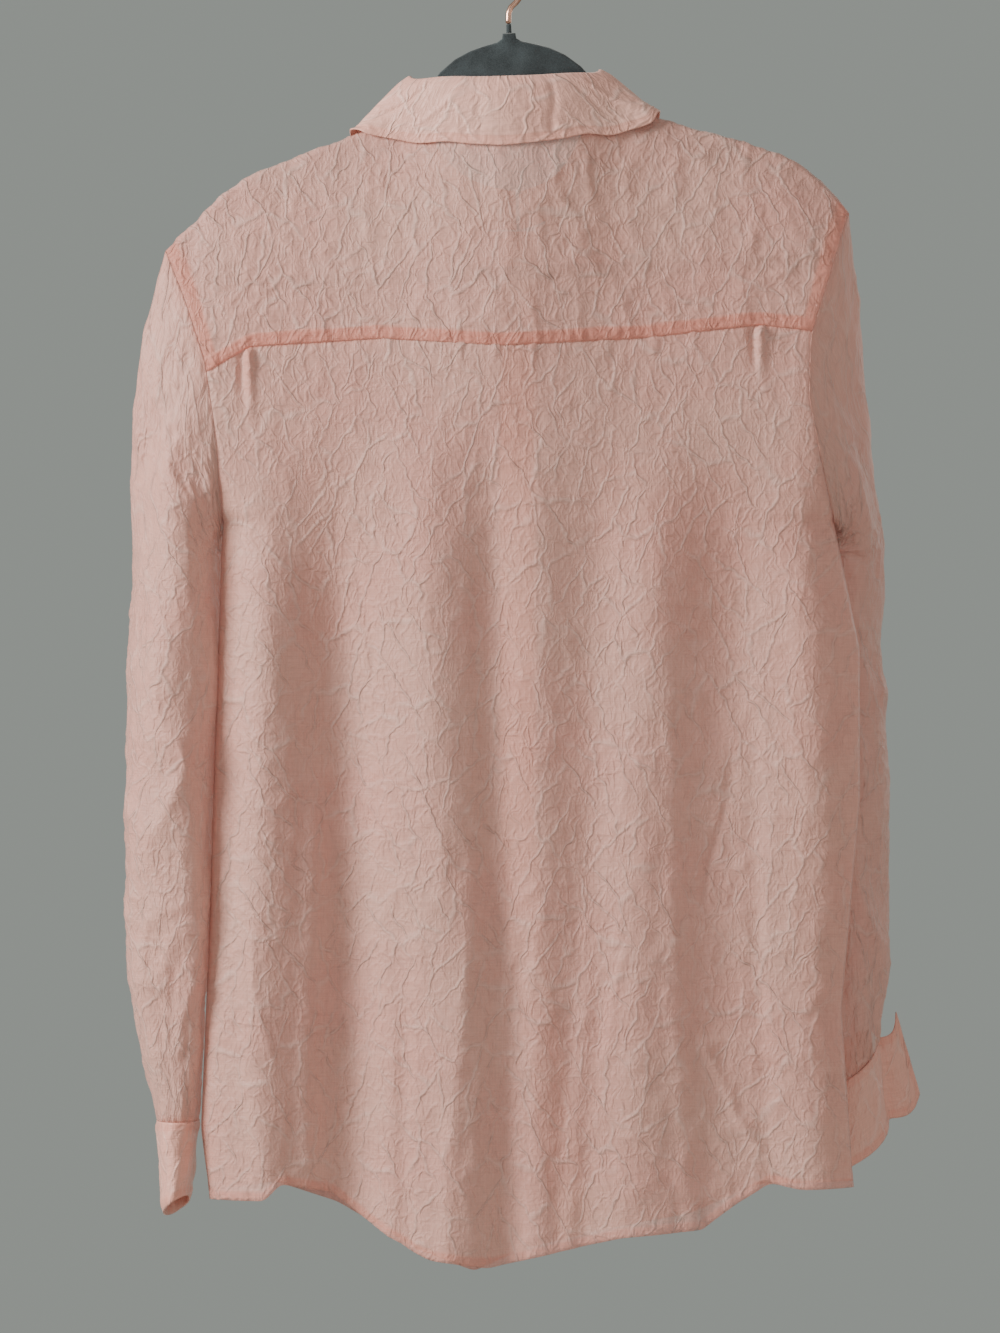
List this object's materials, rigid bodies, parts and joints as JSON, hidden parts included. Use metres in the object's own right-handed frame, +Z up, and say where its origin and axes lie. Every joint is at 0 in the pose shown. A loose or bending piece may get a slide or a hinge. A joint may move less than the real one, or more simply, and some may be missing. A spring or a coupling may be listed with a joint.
{
  "type": "blouse on a hanger",
  "caption": "Long-sleeved crinkled silk shirt-blouse hanging flat on a slim flocked hanger with a wire hook, seen from the back; open neck, hem and cuffs.",
  "frame": {"origin": "inside of the top of the hanger's hook, where a rail or a peg holds it", "axes": "+Z up, +X to the right as the back of the blouse is looked at, +Y from the back of the blouse to its front"},
  "size_m": [0.5226, 0.1169, 0.8752],
  "materials": {
    "silk": "sheer crinkled silk, soft sheen",
    "silk_double": "double crinkled silk, topstitched",
    "button": "satin shell",
    "flock": "charcoal flock",
    "copper_plate": "polished copper plate"
  },
  "bodies": {
    "root": {"back_panel": "silk", "yoke": "silk", "front_left": "silk", "front_right": "silk", "pocket_left": "silk", "pocket_right": "silk", "sleeve_left": "silk", "sleeve_right": "silk", "placket_left": "silk_double", "placket_right": "silk_double", "collar_stand": "silk_double", "collar_leaf": "silk_double", "cuff_left": "silk_double", "cuff_right": "silk_double", "button_front_1": "button", "button_front_2": "button", "button_front_3": "button", "button_front_4": "button", "button_front_5": "button", "button_front_6": "button", "button_front_7": "button", "button_cuff_left_1": "button", "button_cuff_left_2": "button", "button_cuff_right_1": "button", "button_cuff_right_2": "button", "hanger_body": "flock", "hook": "copper_plate", "hook_ferrule": "flock"}
  },
  "joints": []
}
